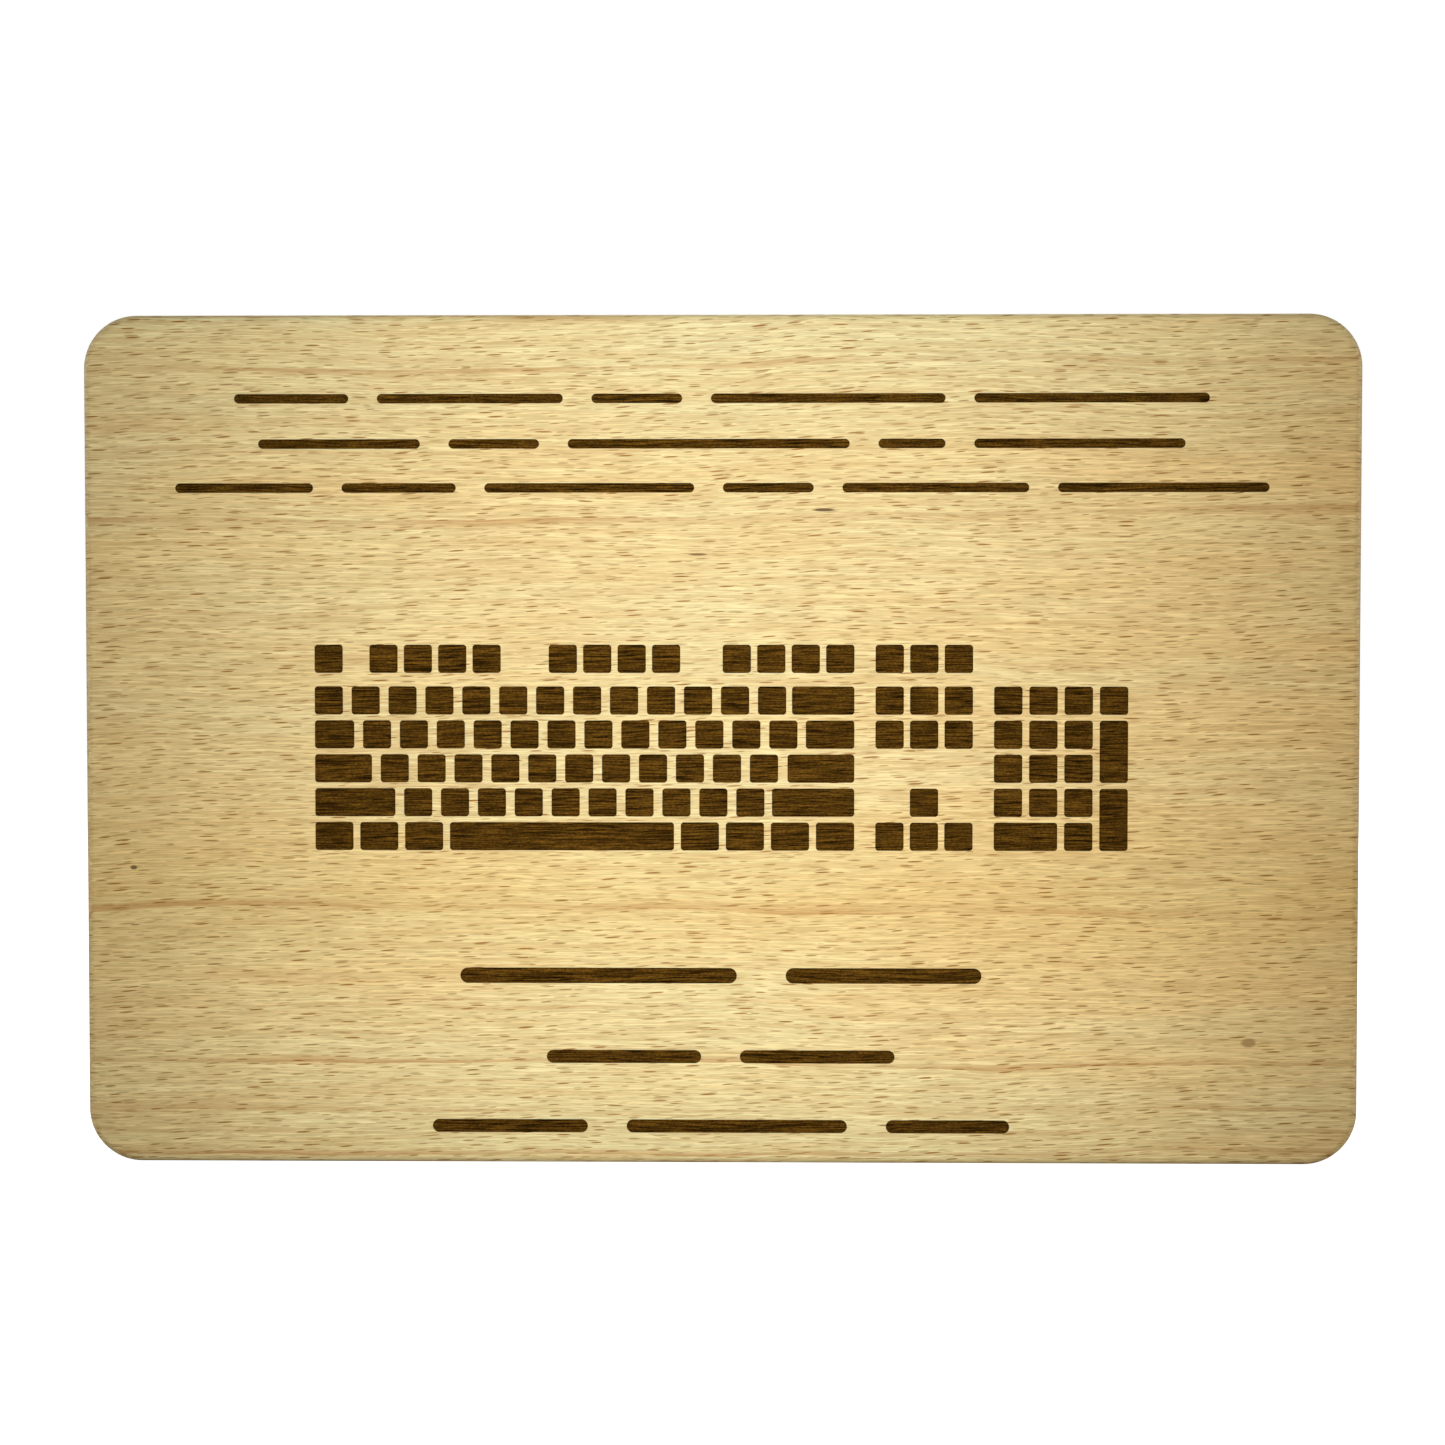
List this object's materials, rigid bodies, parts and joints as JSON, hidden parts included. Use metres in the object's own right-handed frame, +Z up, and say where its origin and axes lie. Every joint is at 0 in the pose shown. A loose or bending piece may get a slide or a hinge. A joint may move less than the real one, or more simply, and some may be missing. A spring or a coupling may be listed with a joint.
{
  "type": "wall plaque",
  "caption": "Landscape wooden wall plaque with rounded corners, an engraved keyboard picture, engraved bars in place of wording, and a keyhole hanger let into the back.",
  "frame": {"origin": "the hanging point: where the wall screw's shank rests at the top of the keyhole, on the wall's plane", "axes": "+Z up, +X to the right as seen from the front, +Y from the front into the wall"},
  "size_m": [0.3, 0.015, 0.2],
  "materials": {
    "beech": "sanded and lightly oiled beech",
    "burnt_beech": "laser-burnt, matt",
    "zinc_plate": "bright zinc plate",
    "zinc_screw": "bright zinc plate"
  },
  "bodies": {
    "root": {"plank": "beech", "burnt_function_row": "burnt_beech", "burnt_number_row": "burnt_beech", "burnt_upper_row": "burnt_beech", "burnt_home_row": "burnt_beech", "burnt_lower_row": "burnt_beech", "burnt_space_row": "burnt_beech", "burnt_navigation_keys": "burnt_beech", "burnt_arrow_keys": "burnt_beech", "burnt_number_pad": "burnt_beech", "burnt_dedication_1": "burnt_beech", "burnt_dedication_2": "burnt_beech", "burnt_dedication_3": "burnt_beech", "burnt_name": "burnt_beech", "burnt_dates": "burnt_beech", "burnt_organisation": "burnt_beech", "hanger_plate": "zinc_plate", "hanger_screws": "zinc_screw"}
  },
  "joints": []
}
